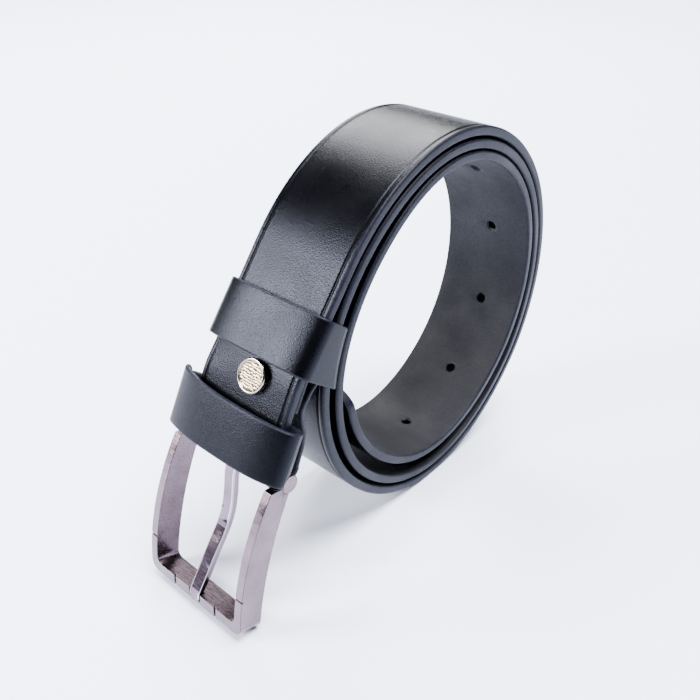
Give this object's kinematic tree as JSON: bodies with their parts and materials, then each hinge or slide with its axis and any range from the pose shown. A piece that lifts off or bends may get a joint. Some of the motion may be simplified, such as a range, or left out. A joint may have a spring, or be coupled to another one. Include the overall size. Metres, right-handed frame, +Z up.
{
  "type": "leather belt",
  "caption": "Rolled leather dress belt standing on its edge: coiled strap with punched holes, hinged frame buckle and prong, ornamental screw and two sliding keepers.",
  "frame": {"origin": "on the floor, under the middle of the whole rolled belt", "axes": "+Z up, the strap's width along Y, the buckle end towards -X and the coil towards +X"},
  "size_m": [0.161, 0.045, 0.1295],
  "materials": {
    "leather": "smooth fine-grained leather with a soft blue-grey sheen",
    "leather_edge": "fine flesh side and burnished slate edge",
    "gunmetal": "satin plating with a slightly pink tone",
    "polished": "polished plating",
    "old_gold": "bright rim and antique pale-gold face",
    "steel": "plain wire and rod"
  },
  "bodies": {
    "belt": {"strap": "leather", "backing_leaf": "leather_edge", "screw_head": "old_gold", "screw_post": "old_gold"},
    "lower_loop": {"lower_keeper": "leather", "lower_keeper_staple": "steel"},
    "upper_loop": {"upper_keeper": "leather", "upper_keeper_staple": "steel"},
    "buckle": {"buckle_frame": "gunmetal", "buckle_bar": "steel"},
    "prong": {"prong": "polished"}
  },
  "joints": [
    {"name": "lower_keeper_slide", "type": "slide", "parent": "belt", "child": "lower_loop", "axis": [0.454, 0, 0.891], "range_m": [0, 0.0035]},
    {"name": "upper_keeper_slide", "type": "slide", "parent": "belt", "child": "upper_loop", "axis": [0.6018, 0, 0.7986], "range_m": [0, 0.001]},
    {"name": "buckle_swing", "type": "hinge", "parent": "belt", "child": "buckle", "pos_m": [-0.05823, 0, 0.0477], "axis": [0, 1, 0], "range_deg": [-45, 15]},
    {"name": "prong_swing", "type": "hinge", "parent": "buckle", "child": "prong", "pos_m": [-0.05823, 0, 0.0477], "axis": [0, 1, 0], "range_deg": [0, 65]}
  ]
}
